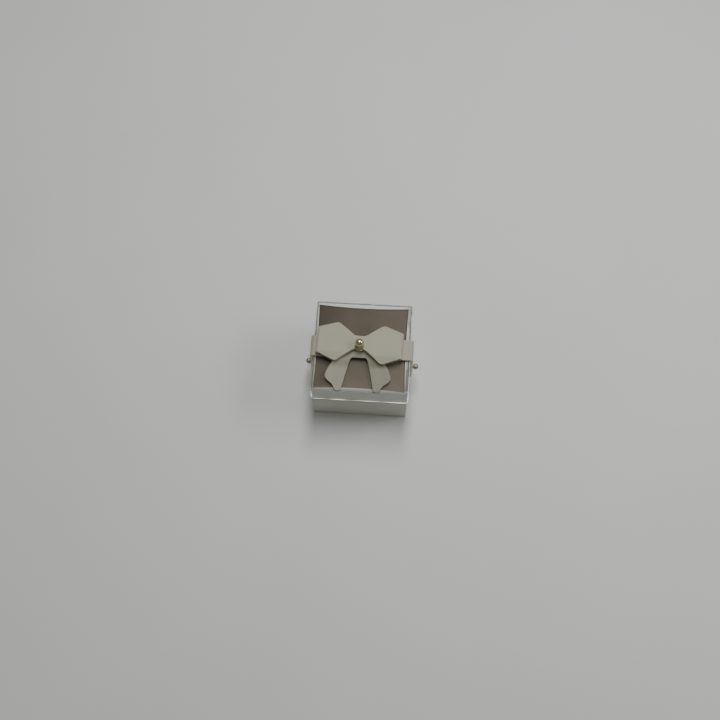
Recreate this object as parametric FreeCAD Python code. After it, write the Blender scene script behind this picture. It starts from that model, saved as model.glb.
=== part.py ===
import FreeCAD, Part
import math
import os

# A small square gift box: a white card tray with a velvet pad, a clear slip-over lid,
# and a leather strap with a folded bow, buttoned on ball studs at both sides of the tray.
# X runs along the strap, Y from front to back, Z up. The origin is the middle of the underside.

Vec = FreeCAD.Vector
ORIGIN = Vec(0, 0, 0)
ALONG_X = Vec(1, 0, 0)
ALONG_Y = Vec(0, 1, 0)
UP = Vec(0, 0, 1)

# Card tray
tray_side = 78.0
tray_height = 53.7
tray_wall = 1.2
tray_floor = 1.5
tray_corner_radius = 1.0

# Inner frame of thin card, whose walls bow towards the middle under a lip of the same card
frame_wall = 0.8
frame_gap = 0.3
frame_bow_front = 1.6
frame_bow_side = 0.8

# Raised insert: card riser, foam block and velvet cover
insert_depth = 0.7
insert_clearance = 0.3
cover_thickness = 0.8
pad_thickness = 13.3
pad_crown = 0.4
pad_corner_radius = 2.5
pad_edge_radius = 1.2
pad_flat_share = 0.75
pad_rim_steps = 2
riser_card = 1.0
riser_inset = 1.7
riser_corner_radius = 1.5

# Clear lid
lid_clearance = 0.4
lid_wall = 0.6
lid_top = 0.8
lid_skirt = 20.0
lid_corner_radius = 2.0
lid_edge_radius = 1.2

# Leather strap over the lid and down both sides
strap_width = 17.5
strap_thickness = 1.8
strap_lid_gap = 0.3
strap_bend_radius = 1.2
strap_forward = 1.5
strap_slit_length = 4.0
strap_slit_width = 0.4
strap_hole_clearance = 0.25

# Screw that holds a ball stud
screw_radius = 0.95
screw_head_radius = 3.0
screw_head_thickness = 0.8
screw_slot_width = 0.6
screw_slot_depth = 0.4
screw_length = 5.2
screw_fit = 0.05
screw_hole_clearance = 0.1
screw_head_recess = 0.1

# Ball studs at the sides of the tray
side_stud_height = 22.0
side_ball_radius = 2.5
side_neck_radius = 1.5
side_flange_radius = 3.5
side_flange_thickness = 1.2
side_ball_gap = 0.45
stud_bevel = 0.3
stud_bore_spare = 0.4

# Ball stud in the middle of the bow
centre_stud_left = 2.0
centre_ball_radius = 3.8
centre_neck_radius = 2.0
centre_flange_radius = 4.4
centre_flange_thickness = 1.2
centre_ball_gap = 0.4

# Bow: a strip whose ends fold under, with a six-sided lobe on either side of its waist
bow_leather = 1.3
bow_half_length = 35.2
bow_waist_width = 11.3
bow_waist_length = 8.8
bow_lobe_width = 34.8
bow_peak_from_middle = 18.7
bow_end_width = 20.3
bow_peak_radius = 3.0
bow_waist_radius = 2.0
bow_end_radius = 0.8
bow_pinch_gap = 0.15
bow_lobe_rise = 1.0
bow_lobe_drop = 0.9
bow_sweep_length = 8.0
bow_sweep_radius = 25.0
bow_seam_gap = 0.4
bow_back_shift = 1.8
bow_turn_degrees = -2.2

# Tails: one forked piece under the bow
tails_leather = 1.3
tails_half_width = 26.5
tails_length = 38.0
tails_drop_length = 9.0
tails_bend_radius = 10.0
tails_lid_gap = 0.25

# One side of the forked piece, from the back to the crotch: shares of the half width,
# of the length in front of the stud, and of the half width for the rounding
tails_outline_shares = [
    (0.24, -0.14, 0.08),
    (0.95, 0.45, 0.30),
    (1.02, 0.71, 0.10),
    (0.775, 0.845, 0.15),
    (0.69, 1.00, 0.05),
    (0.50, 1.00, 0.05),
    (0.245, 0.25, 0.07),
]

# Every cut runs this far past the faces that it opens, and closer points are one
overrun = 2.0
same_point = 0.001

# Sizes that follow from the ones above
tray_half = tray_side / 2
tray_inner_half = tray_half - tray_wall
frame_outer_half = tray_inner_half - frame_gap
frame_inner_half = frame_outer_half - frame_wall
pad_half = frame_inner_half - insert_clearance
pad_top_z = tray_height - insert_depth
pad_bottom_z = pad_top_z - pad_thickness
lid_inner_half = tray_half + lid_clearance
lid_half = lid_inner_half + lid_wall
lid_top_z = tray_height + lid_top
strap_y = -strap_forward
strap_inner_x = lid_half + strap_lid_gap
strap_outer_x = strap_inner_x + strap_thickness
strap_fold_z = lid_top_z - strap_bend_radius
strap_top_z = lid_top_z + strap_thickness
tails_top_z = strap_top_z + tails_leather
flange_top_z = tails_top_z + centre_flange_thickness
bow_top_z = flange_top_z + 2 * bow_leather + bow_pinch_gap
stud_x = -centre_stud_left
stud_axis_foot = Vec(stud_x, strap_y, 0)


def rounded_face(corners, to_point):
    """Face inside a closed outline of (u, v, radius) corners, which to_point places in space."""
    places = [Vec(u, v, 0) for u, v, radius in corners]
    ends = []
    count = len(corners)
    for i in range(count):
        here = places[i]
        back = (places[i - 1] - here).normalize()
        ahead = (places[(i + 1) % count] - here).normalize()
        half_angle = back.getAngle(ahead) / 2
        radius = corners[i][2]
        reach = radius / math.tan(half_angle)
        middle_way = (back + ahead).normalize()
        arc_top = here + middle_way * (radius / math.sin(half_angle) - radius)
        ends.append((here + back * reach, arc_top, here + ahead * reach))
    edges = []
    for i in range(count):
        first, middle, last = [to_point(p) for p in ends[i]]
        if not first.isEqual(last, same_point):
            edges.append(Part.Arc(first, middle, last).toShape())
        following = to_point(ends[(i + 1) % count][0])
        if not last.isEqual(following, same_point):
            edges.append(Part.makeLine(last, following))
    return Part.Face(Part.Wire(edges))


def flat_point(p):
    return Vec(p.x, p.y, 0)


def side_view_point(p):
    return Vec(p.x, 0, p.y)


def end_view_point(p):
    return Vec(0, p.x, p.y)


def block(x_low, x_high, y_low, y_high, z_low, z_high):
    corner = Vec(x_low, y_low, z_low)
    return Part.makeBox(x_high - x_low, y_high - y_low, z_high - z_low, corner)


def square_block(half, z_low, z_high):
    return block(-half, half, -half, half, z_low, z_high)


def upright_edges(shape):
    """Edges that run straight up, where a box has its corners."""
    chosen = []
    for edge in shape.Edges:
        box = edge.BoundBox
        if box.ZLength > box.XLength + box.YLength:
            chosen.append(edge)
    return chosen


def edges_at_height(shape, height, tolerance):
    """Edges that lie wholly near one height."""
    chosen = []
    for edge in shape.Edges:
        box = edge.BoundBox
        if abs(box.ZMin - height) < tolerance and abs(box.ZMax - height) < tolerance:
            chosen.append(edge)
    return chosen


def bowed_prism(half, z_low, z_high):
    """Square prism whose four sides bow inwards as the inner frame's walls do."""
    def side(start, end, inward, bow):
        middle = (start + end) * 0.5 + inward * bow
        return Part.Arc(start, middle, end).toShape()

    front_left = Vec(-half, -half, z_low)
    front_right = Vec(half, -half, z_low)
    back_right = Vec(half, half, z_low)
    back_left = Vec(-half, half, z_low)
    outline = Part.Wire([
        side(front_left, front_right, ALONG_Y, frame_bow_front),
        side(front_right, back_right, -ALONG_X, frame_bow_side),
        side(back_right, back_left, -ALONG_Y, frame_bow_front),
        side(back_left, front_left, ALONG_X, frame_bow_side),
    ])
    return Part.Face(outline).extrude(UP * (z_high - z_low))


def revolved(profile_edges):
    return Part.Face(Part.Wire(profile_edges)).revolve(ORIGIN, UP, 360)


def pointed(shape, axis, foot):
    """Turn a shape that was built along +Z so that it points along axis from foot."""
    turned = shape.copy()
    turned.Placement = FreeCAD.Placement(foot, FreeCAD.Rotation(UP, axis))
    return turned


def opposite(shape):
    """The same piece on the other side of the box."""
    turned = shape.copy()
    turned.rotate(Vec(0, strap_y, 0), UP, 180)
    return turned


def ball_stud(ball_radius, neck_radius, flange_radius, flange_thickness, ball_height, held):
    """Turned ball on a neck and a flange, bored for a screw that first passes what it holds."""
    bore_radius = screw_radius + screw_fit
    bore_depth = screw_length - held + stud_bore_spare
    neck_end = ball_height - math.sqrt(ball_radius ** 2 - neck_radius ** 2)
    foot = Vec(bore_radius, 0, 0)
    rim_low = Vec(flange_radius, 0, 0)
    rim_high = Vec(flange_radius, 0, flange_thickness - stud_bevel)
    rim_top = Vec(flange_radius - stud_bevel, 0, flange_thickness)
    neck_low = Vec(neck_radius, 0, flange_thickness)
    neck_high = Vec(neck_radius, 0, neck_end)
    widest = Vec(ball_radius, 0, ball_height)
    crown = Vec(0, 0, ball_height + ball_radius)
    bore_top = Vec(0, 0, bore_depth)
    bore_edge = Vec(bore_radius, 0, bore_depth)
    return revolved([
        Part.makeLine(foot, rim_low),
        Part.makeLine(rim_low, rim_high),
        Part.makeLine(rim_high, rim_top),
        Part.makeLine(rim_top, neck_low),
        Part.makeLine(neck_low, neck_high),
        Part.Arc(neck_high, widest, crown).toShape(),
        Part.makeLine(crown, bore_top),
        Part.makeLine(bore_top, bore_edge),
        Part.makeLine(bore_edge, foot),
    ])


def stud_screw():
    """Flat slotted screw with its head's face at zero and its shank pointing up."""
    head = Part.makeCylinder(screw_head_radius, screw_head_thickness)
    shank = Part.makeCylinder(screw_radius, screw_head_thickness + screw_length)
    slot_half = screw_slot_width / 2
    slot_reach = screw_head_radius + overrun
    slot = block(-slot_reach, slot_reach, -slot_half, slot_half, -overrun, screw_slot_depth)
    return head.fuse(shank).cut(slot).removeSplitter()


def side_hole(radius):
    """Bore through everything at the side studs' height, from one side of the box to the other."""
    reach = strap_outer_x + side_ball_radius + overrun
    foot = Vec(-reach, strap_y, side_stud_height)
    return Part.makeCylinder(radius, 2 * reach, foot, ALONG_X)


# Tray

def tray_shell():
    outside = square_block(tray_half, 0, tray_height)
    outside = outside.makeFillet(tray_corner_radius, upright_edges(outside))
    inside = square_block(tray_inner_half, tray_floor, tray_height + overrun)
    return outside.cut(inside).cut(side_hole(screw_radius + screw_hole_clearance))


def inner_frame():
    """Bowed walls with a lip that closes the space between them and the tray's walls."""
    outside = bowed_prism(frame_outer_half, tray_floor, tray_height)
    lip = square_block(frame_outer_half, tray_height - frame_wall, tray_height)
    inside = bowed_prism(frame_inner_half, tray_floor - overrun, tray_height + overrun)
    return outside.fuse(lip).cut(inside)


def pad_ring(half, z):
    """Outline of the pad at one height, with its drawn-in sides and round corners."""
    layer = bowed_prism(half, z, z + pad_thickness)
    layer = layer.makeFillet(pad_corner_radius, upright_edges(layer))
    lowest = min(layer.Faces, key=lambda face: face.CenterOfMass.z)
    return lowest.OuterWire


def insert_foam():
    """Flat block whose sides follow the inner frame, under the cover's crown."""
    top_z = pad_top_z - pad_crown - cover_thickness
    block_of_foam = bowed_prism(pad_half - cover_thickness, pad_bottom_z, top_z)
    return block_of_foam.makeFillet(pad_corner_radius, upright_edges(block_of_foam))


def insert_cover():
    """The pad's outer form, with its round rim and low crown, hollowed for the foam."""
    rim_z = pad_top_z - pad_crown
    rim_half = pad_half - pad_edge_radius
    rings = [pad_ring(pad_half, pad_bottom_z)]
    for step in range(pad_rim_steps + 1):
        angle = math.radians(90) * step / pad_rim_steps
        drop = pad_edge_radius * (1 - math.sin(angle))
        rings.append(pad_ring(rim_half + pad_edge_radius * math.cos(angle), rim_z - drop))
    rings.append(pad_ring(pad_half * pad_flat_share, pad_top_z))
    return Part.makeLoft(rings, True, True).cut(insert_foam())


def insert_riser():
    half = pad_half - riser_inset
    outside = square_block(half, tray_floor, pad_bottom_z)
    outside = outside.makeFillet(riser_corner_radius, upright_edges(outside))
    inside = square_block(half - riser_card, tray_floor - overrun, pad_bottom_z - riser_card)
    return outside.cut(inside)


def side_stud():
    flange_to_ball = strap_outer_x + side_ball_gap + side_ball_radius - tray_half
    stud = ball_stud(side_ball_radius, side_neck_radius, side_flange_radius,
                     side_flange_thickness, flange_to_ball, tray_wall)
    return pointed(stud, ALONG_X, Vec(tray_half, strap_y, side_stud_height))


def side_screw():
    head_x = tray_inner_half - screw_head_thickness
    return pointed(stud_screw(), ALONG_X, Vec(head_x, strap_y, side_stud_height))


# Lid

def clear_lid():
    outside = square_block(lid_half, lid_top_z - lid_skirt, lid_top_z)
    outside = outside.makeFillet(lid_corner_radius, upright_edges(outside))
    outside = outside.makeFillet(lid_edge_radius, edges_at_height(outside, lid_top_z, lid_wall))
    inside = square_block(lid_inner_half, lid_top_z - lid_skirt - overrun, tray_height)
    inside = inside.makeFillet(lid_corner_radius - lid_wall, upright_edges(inside))
    return outside.cut(inside)


# Strap, bow and middle stud

def strap_top():
    """Flat length over the lid with the bend at each end."""
    bend_x = strap_inner_x - strap_bend_radius
    diagonal = math.sqrt(0.5)
    inner_reach = strap_bend_radius * diagonal
    outer_reach = (strap_bend_radius + strap_thickness) * diagonal

    def at(x, z):
        return Vec(x, strap_y - strap_width / 2, z)

    edges = []
    for side in (1, -1):
        inner_top = at(side * bend_x, lid_top_z)
        inner_middle = at(side * (bend_x + inner_reach), strap_fold_z + inner_reach)
        inner_fold = at(side * strap_inner_x, strap_fold_z)
        outer_fold = at(side * strap_outer_x, strap_fold_z)
        outer_middle = at(side * (bend_x + outer_reach), strap_fold_z + outer_reach)
        outer_top = at(side * bend_x, strap_top_z)
        edges.append(Part.Arc(inner_top, inner_middle, inner_fold).toShape())
        edges.append(Part.makeLine(inner_fold, outer_fold))
        edges.append(Part.Arc(outer_fold, outer_middle, outer_top).toShape())
    edges.append(Part.makeLine(at(-bend_x, lid_top_z), at(bend_x, lid_top_z)))
    edges.append(Part.makeLine(at(-bend_x, strap_top_z), at(bend_x, strap_top_z)))
    outline = Part.Wire(Part.__sortEdges__(edges))
    strap = Part.Face(outline).extrude(ALONG_Y * strap_width)
    shank_hole = Part.makeCylinder(screw_radius + screw_hole_clearance, strap_top_z, stud_axis_foot)
    head_depth = screw_head_thickness + screw_head_recess
    head_seat = Part.makeCylinder(screw_head_radius + screw_hole_clearance, lid_top_z + head_depth,
                                  stud_axis_foot)
    return strap.cut(shank_hole).cut(head_seat)


def strap_end():
    """Round-ended tongue down the right side, with its buttonhole and slit."""
    tongue = block(strap_inner_x, strap_outer_x, strap_y - strap_width / 2,
                   strap_y + strap_width / 2, side_stud_height, strap_fold_z)
    round_foot = Vec(strap_inner_x, strap_y, side_stud_height)
    tongue = tongue.fuse(Part.makeCylinder(strap_width / 2, strap_thickness, round_foot, ALONG_X))
    hole_radius = side_neck_radius + strap_hole_clearance
    slit_half = strap_slit_width / 2
    slit = block(strap_inner_x - overrun, strap_outer_x + overrun, strap_y - slit_half,
                 strap_y + slit_half, side_stud_height,
                 side_stud_height + hole_radius + strap_slit_length)
    return tongue.removeSplitter().cut(side_hole(hole_radius)).cut(slit)


def bow_plan(z_low, z_high):
    """Outline of the bow from above, as a prism."""
    quarter = [
        (bow_half_length, bow_end_width / 2, bow_end_radius),
        (bow_peak_from_middle, bow_lobe_width / 2, bow_peak_radius),
        (bow_waist_length / 2, bow_waist_width / 2, bow_waist_radius),
    ]
    left = [(-x, y, radius) for x, y, radius in reversed(quarter)]
    back = quarter + left
    front = [(x, -y, radius) for x, y, radius in reversed(back)]
    face = rounded_face(back + front, flat_point)
    face.translate(UP * z_low)
    return face.extrude(UP * (z_high - z_low))


def bow_loops():
    """Strip that runs out below, folds at each end and comes back on top."""
    waist_x = bow_waist_length / 2
    lobe_x = waist_x + bow_sweep_length
    lobe_top = bow_top_z + bow_lobe_rise
    lobe_bottom = flange_top_z - bow_lobe_drop
    fold_radius = (lobe_top - lobe_bottom) / 2
    right = [
        (waist_x, flange_top_z, bow_sweep_radius),
        (lobe_x, lobe_bottom, bow_sweep_radius),
        (bow_half_length, lobe_bottom, fold_radius),
        (bow_half_length, lobe_top, fold_radius),
        (lobe_x, lobe_top, bow_sweep_radius),
        (waist_x, bow_top_z, bow_sweep_radius),
    ]
    left = [(-x, z, radius) for x, z, radius in reversed(right)]
    outside = rounded_face(right + left, side_view_point)
    inside = outside.makeOffset2D(-bow_leather)
    ring = outside.cut(inside)
    ring.translate(ALONG_Y * -bow_lobe_width)
    strip = ring.extrude(ALONG_Y * 2 * bow_lobe_width)
    loops = strip.common(bow_plan(lobe_bottom - overrun, lobe_top + overrun))
    seam_half = bow_seam_gap / 2
    seam = block(-seam_half, seam_half, -bow_lobe_width, bow_lobe_width,
                 lobe_bottom - overrun, flange_top_z + bow_leather + bow_pinch_gap / 2)
    loops = loops.cut(seam)
    loops.rotate(ORIGIN, UP, bow_turn_degrees)
    loops.translate(Vec(stud_x, strap_y + bow_back_shift, 0))
    hole_radius = centre_neck_radius + strap_hole_clearance
    return loops.cut(Part.makeCylinder(hole_radius, bow_top_z + overrun, stud_axis_foot))


def bow_tails():
    """Forked piece that lies on the strap and runs down to the lid's front edge."""
    right = [(x * tails_half_width, -y * tails_length, radius * tails_half_width)
             for x, y, radius in tails_outline_shares]
    left = [(-x, y, radius) for x, y, radius in reversed(right)]
    plan = rounded_face(right + left, flat_point)
    plan.translate(Vec(stud_x, strap_y, lid_top_z))
    prism = plan.extrude(UP * (tails_top_z + overrun - lid_top_z))

    lip_y = strap_y - strap_width / 2 - strap_thickness
    foot_y = lip_y - tails_drop_length
    back_y = strap_y + tails_length
    front_y = strap_y - tails_length - overrun
    low_z = lid_top_z + tails_lid_gap
    band = rounded_face([
        (back_y, strap_top_z, 0),
        (back_y, tails_top_z, 0),
        (lip_y, tails_top_z, tails_bend_radius),
        (foot_y, low_z + tails_leather, tails_bend_radius),
        (front_y, low_z + tails_leather, 0),
        (front_y, low_z, 0),
        (foot_y, low_z, tails_bend_radius),
        (lip_y, strap_top_z, tails_bend_radius),
    ], end_view_point)
    band.translate(ALONG_X * -lid_half)
    sheet = band.extrude(ALONG_X * 2 * lid_half)
    tails = prism.common(sheet)
    hole_radius = screw_radius + screw_hole_clearance
    return tails.cut(Part.makeCylinder(hole_radius, tails_top_z + overrun, stud_axis_foot))


def centre_stud():
    ball_height = bow_top_z + centre_ball_gap + centre_ball_radius - tails_top_z
    held = strap_thickness - screw_head_recess - screw_head_thickness + tails_leather
    stud = ball_stud(centre_ball_radius, centre_neck_radius, centre_flange_radius,
                     centre_flange_thickness, ball_height, held)
    return pointed(stud, UP, stud_axis_foot + UP * tails_top_z)


def centre_screw():
    return pointed(stud_screw(), UP, stud_axis_foot + UP * (lid_top_z + screw_head_recess))


def write(name, shape):
    solids = shape.Solids
    solid = solids[0] if len(solids) == 1 else Part.makeCompound(solids)
    solid.exportStep("parts/%s.step" % name)
    box = solid.BoundBox
    print("%-18s solids %d  volume %9.1f  x %.2f %.2f  y %.2f %.2f  z %.2f %.2f" % (
        name, len(solids), solid.Volume, box.XMin, box.XMax, box.YMin, box.YMax,
        box.ZMin, box.ZMax))


os.makedirs("parts", exist_ok=True)

write("tray_shell", tray_shell())
write("inner_frame", inner_frame())
write("insert_riser", insert_riser())
write("insert_foam", insert_foam())
write("insert_cover", insert_cover())
write("right_stud", side_stud())
write("left_stud", opposite(side_stud()))
write("right_stud_screw", side_screw())
write("left_stud_screw", opposite(side_screw()))
write("clear_lid", clear_lid())
write("strap_top", strap_top())
write("strap_end_right", strap_end())
write("strap_end_left", opposite(strap_end()))
write("bow_loops", bow_loops())
write("bow_tails", bow_tails())
write("centre_stud", centre_stud())
write("centre_screw", centre_screw())
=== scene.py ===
import math

import bmesh
import bpy
from mathutils import Matrix, Vector, noise


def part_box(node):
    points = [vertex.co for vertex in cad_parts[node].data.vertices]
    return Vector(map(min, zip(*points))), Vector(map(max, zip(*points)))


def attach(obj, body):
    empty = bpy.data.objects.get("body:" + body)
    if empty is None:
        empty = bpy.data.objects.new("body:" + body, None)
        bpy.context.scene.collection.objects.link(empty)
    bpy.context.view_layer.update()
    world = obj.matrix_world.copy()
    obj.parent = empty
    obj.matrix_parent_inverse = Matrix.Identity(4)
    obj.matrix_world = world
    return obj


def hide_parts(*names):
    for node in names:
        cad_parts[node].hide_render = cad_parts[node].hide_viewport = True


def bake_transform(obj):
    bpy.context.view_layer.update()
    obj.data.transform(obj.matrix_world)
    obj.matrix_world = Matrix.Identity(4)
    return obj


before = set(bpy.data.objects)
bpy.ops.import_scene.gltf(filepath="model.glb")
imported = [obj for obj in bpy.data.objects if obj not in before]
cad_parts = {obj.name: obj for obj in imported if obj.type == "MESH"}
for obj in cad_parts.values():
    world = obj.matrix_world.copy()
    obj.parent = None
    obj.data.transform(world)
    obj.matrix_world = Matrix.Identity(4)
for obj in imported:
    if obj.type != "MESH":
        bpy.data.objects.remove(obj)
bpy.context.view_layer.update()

# A small square gift box: white card tray, velvet pad, clear slip-over lid,
# and a leather strap with a folded bow, buttoned on ball studs.

mm = 0.001
same_place = 0.001 * mm
hole_points = 32
stud_points = 48

# Places and sizes that come from the frame
tray_low, tray_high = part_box("tray_shell")
frame_low, frame_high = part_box("inner_frame")
pad_low, pad_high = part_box("insert_cover")
foam_low, foam_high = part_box("insert_foam")
lid_low, lid_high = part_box("clear_lid")
strap_low, strap_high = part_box("strap_top")
tongue_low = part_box("strap_end_right")[0]
tails_low, tails_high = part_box("bow_tails")
centre_low, centre_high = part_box("centre_stud")
side_low, side_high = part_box("right_stud")

# Card
card_wall = 0.9 * mm
card_floor = 1.5 * mm
card_corner_radius = 1.0 * mm
card_edge_radius = 0.3 * mm
turn_in = 9.0 * mm
screw_hole_radius = 1.05 * mm
frame_card = 0.35 * mm
frame_slip = Vector((-0.6, -0.6, 0)) * mm
frame_corner = 0.25 * mm
frame_edge_radius = 0.15 * mm
frame_lip_gap = 0.05 * mm
wall_bow_front = 1.6 * mm
wall_bow_side = 0.8 * mm
paper = 0.12 * mm
ring_points = 192

# Velvet pad and foam
pad_gap = 0.1 * mm
pad_rise = 0.35 * mm
pad_rim = 0.9 * mm
pad_crown = 0.4 * mm
pad_corner = 2.5 * mm
pad_rim_steps = 5
pad_top_steps = 12
pad_tip = 0.4 * mm
pad_wave = 0.12 * mm
pad_waves_per_metre = 90
gather_start = 0.86
gather_depth = 0.008
gather_count = 96
foam_inset = 0.9 * mm
foam_edge_radius = 1.2 * mm

# Lid
lid_wall = 0.6 * mm
lid_top_sheet = 0.8 * mm
lid_corner_radius = 2.0 * mm
lid_edge_radius = 1.6 * mm
lid_cut_radius = 0.12 * mm
bevel_steps = 8
edge_fade = 0.1 * mm
edge_opacity = 0.55
front_edge_reach = 3.0 * mm
front_edge_loss = 0.6
# Where the painted shade over the card's rim reaches
rim_shade_reach = 3.0 * mm
rim_shade_fade = 0.5 * mm
# Where the painted glint glows on the skirt's corners, and how strong it is on each side
glint_start = 5.0 * mm
glint_end = 18.0 * mm
glint_fade = 5.0 * mm
glint_left = 0.75
glint_right = 0.08
band_radius = 0.32 * mm
band_height = 1.8 * mm
band_drop = 1.2 * mm

# Leather
strap_leather = 1.8 * mm
bow_leather = 1.3 * mm
tails_leather = 1.0 * mm
strap_edge_radius = 0.35 * mm
bow_edge_radius = 0.3 * mm
cut_edge_angle = 55
cut_start = 0.35
cut_full = 0.75
bend_radius = 1.2 * mm
strap_seam_x = 26.0 * mm
seam_spare = 1.0 * mm
strap_tip_half = 0.4 * mm
buttonhole_radius = 1.75 * mm
slit_half_width = 0.2 * mm
slit_length = 4.0 * mm
cut_reach = 6.0 * mm

# Bow's outline, measured from its own middle, and the heights of its strip
bow_half_length = 35.2 * mm
bow_peak_x = 18.7 * mm
bow_half_waist = 5.65 * mm
bow_half_lobe = 17.1 * mm
bow_half_end = 10.15 * mm
bow_waist_x = 4.4 * mm
bow_ramp_x = 12.4 * mm
bow_outline_ease = 1.9 * mm
bow_pinch_gap = 0.15 * mm
bow_seam = 0.2 * mm
bow_hole_radius = 2.2 * mm
bow_hole_depth = 20.0 * mm
lobe_drop = 0.9 * mm
lobe_rise = 0.1 * mm
lobe_hang = 1.5 * mm
bow_turn = math.radians(-2.2)
bow_back_shift = 2.4 * mm

# Tails
tails_length = 38.0 * mm
tails_back = 5.4 * mm
tails_drop = 8.0 * mm
tails_curl = 0.5 * mm
curl_start_x = 18.0 * mm
curl_width = 9.0 * mm
curl_start = 16.0 * mm
curl_length = 8.0 * mm
tails_slant = 0.15
fork_half_width = 6.5 * mm
fork_share = 0.6
fork_reach = 9.5 * mm
fork_corner_length = 1.6 * mm
fork_corner_depth = 1.2 * mm

# Studs
centre_ball_radius = 3.8 * mm
centre_neck_radius = 2.0 * mm
centre_flange_radius = 4.4 * mm
side_ball_radius = 2.5 * mm
side_neck_radius = 1.5 * mm
side_flange_radius = 3.5 * mm
flange_thickness = 1.2 * mm

# Places that follow
strap_y = (strap_low.y + strap_high.y) / 2
strap_half_width = (strap_high.y - strap_low.y) / 2
stud_x = (centre_low.x + centre_high.x) / 2
side_stud_z = (side_low.z + side_high.z) / 2
lid_top = lid_high.z


# Working in edit mode

def deselect():
    """Leave edit mode, with nothing selected."""
    if bpy.context.mode != "OBJECT":
        bpy.ops.object.mode_set(mode="OBJECT")
    bpy.ops.object.select_all(action="DESELECT")


def hold(piece):
    """Make a piece the only selected and active one, in object mode."""
    deselect()
    piece.select_set(True)
    bpy.context.view_layer.objects.active = piece


def edit(piece):
    """Go into a piece's edit mode, with none of it selected."""
    hold(piece)
    bpy.ops.object.mode_set(mode="EDIT")
    bpy.ops.mesh.select_mode(type="VERT")
    bpy.ops.mesh.select_all(action="DESELECT")


def pick(piece, kind, test):
    """Select the verts, edges or faces of the piece being edited that pass the test."""
    mode = {"verts": "VERT", "edges": "EDGE", "faces": "FACE"}[kind]
    bpy.ops.mesh.select_mode(type=mode)
    bpy.ops.mesh.select_all(action="DESELECT")
    mesh = bmesh.from_edit_mesh(piece.data)
    for item in getattr(mesh, kind):
        if test(item):
            item.select_set(True)
    bmesh.update_edit_mesh(piece.data)


def add_block(low, high):
    """Box between two corners, with its place in its mesh."""
    deselect()
    bpy.ops.mesh.primitive_cube_add(size=1, location=(Vector(low) + Vector(high)) / 2)
    piece = bpy.context.object
    piece.scale = Vector(high) - Vector(low)
    bpy.ops.object.transform_apply(location=True, rotation=True, scale=True)
    return piece


def add_sheet(columns, rows, place):
    """Grid whose every corner goes where place(u, v) says, for u and v from 0 to 1."""
    deselect()
    bpy.ops.mesh.primitive_grid_add(x_subdivisions=columns, y_subdivisions=rows, size=1)
    piece = bpy.context.object
    for vertex in piece.data.vertices:
        vertex.co = place(vertex.co.x + 0.5, vertex.co.y + 0.5)
    return piece


def upright(edge):
    """Whether an edge runs up rather than along."""
    first, second = edge.verts
    along = second.co - first.co
    return abs(along.z) > abs(along.x) + abs(along.y)


def faces_up(face):
    """Whether a face looks up."""
    return face.normal.z > 0.9


def faces_down(face):
    """Whether a face looks down."""
    return face.normal.z < -0.9


def modify(piece, kind, **settings):
    """Add a modifier with these settings and apply it."""
    hold(piece)
    modifier = piece.modifiers.new(kind.lower(), kind)
    for name, value in settings.items():
        setattr(modifier, name, value)
    bpy.ops.object.modifier_apply(modifier=modifier.name)


def trim(piece, place, outwards):
    """Cut a piece off flat at a place, on the side that outwards points to, and close the cut."""
    edit(piece)
    bpy.ops.mesh.select_all(action="SELECT")
    bpy.ops.mesh.bisect(plane_co=place, plane_no=outwards, use_fill=True, clear_outer=True)
    deselect()


def merge_close(piece, distance):
    """Make one corner of those that lie within a distance."""
    edit(piece)
    bpy.ops.mesh.select_all(action="SELECT")
    bpy.ops.mesh.remove_doubles(threshold=distance)
    deselect()


def round_edges(piece, width, segments=3, angle=40):
    """Round every edge that turns by more than angle, in degrees."""
    modify(piece, "BEVEL", width=width, segments=segments, limit_method="ANGLE",
           angle_limit=math.radians(angle))


def cut_with(piece, tool):
    """Cut another piece's shape out of a piece, and remove it."""
    modify(piece, "BOOLEAN", operation="DIFFERENCE", solver="EXACT", object=tool)
    bpy.data.objects.remove(tool)


def drill(piece, radius, length, middle, turn=0):
    """Cut a round hole about a middle, upright or turned about Y."""
    deselect()
    bpy.ops.mesh.primitive_cylinder_add(vertices=hole_points, radius=radius, depth=length,
                                        location=middle, rotation=(0, turn, 0))
    cut_with(piece, bpy.context.object)


def face_outwards(piece):
    """Turn all faces of a closed piece outwards."""
    edit(piece)
    bpy.ops.mesh.select_all(action="SELECT")
    bpy.ops.mesh.normals_make_consistent(inside=False)
    deselect()


def mark(piece, name, value):
    """Store value(place) for every corner of a piece, for its material to read."""
    layer = piece.data.attributes.new(name, "FLOAT", "POINT")
    for vertex in piece.data.vertices:
        layer.data[vertex.index].value = value(vertex.co)


def smooth(share):
    """Eased step from 0 to 1 as share goes from 0 to 1."""
    share = min(max(share, 0), 1)
    return share * share * (3 - 2 * share)


def mark_cut(piece, sideways):
    """Mark where a leather piece's surface turns sideways, which is its cut edge."""
    layer = piece.data.attributes.new("cut", "FLOAT", "POINT")
    for vertex in piece.data.vertices:
        share = (sideways(vertex.normal) - cut_start) / (cut_full - cut_start)
        layer.data[vertex.index].value = smooth(share)


def dress(piece, name, material, nodes=(), angle=35):
    """Name a finished piece, shade it, give it its material and hide the frame nodes it replaces."""
    hold(piece)
    bpy.ops.object.transform_apply(location=True, rotation=True, scale=True)
    bpy.ops.object.shade_smooth_by_angle(angle=math.radians(angle))
    piece.name = name
    piece.data.name = name
    piece.data.materials.clear()
    piece.data.materials.append(material)
    if nodes:
        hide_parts(*nodes)
    return piece


# Materials

white = (1, 1, 1)
black = (0, 0, 0)
noise_range = (0.3, 0.7)  # where most of the noise texture's values lie


def grey(value):
    """Colour with the same red, green and blue."""
    return value, value, value


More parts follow.
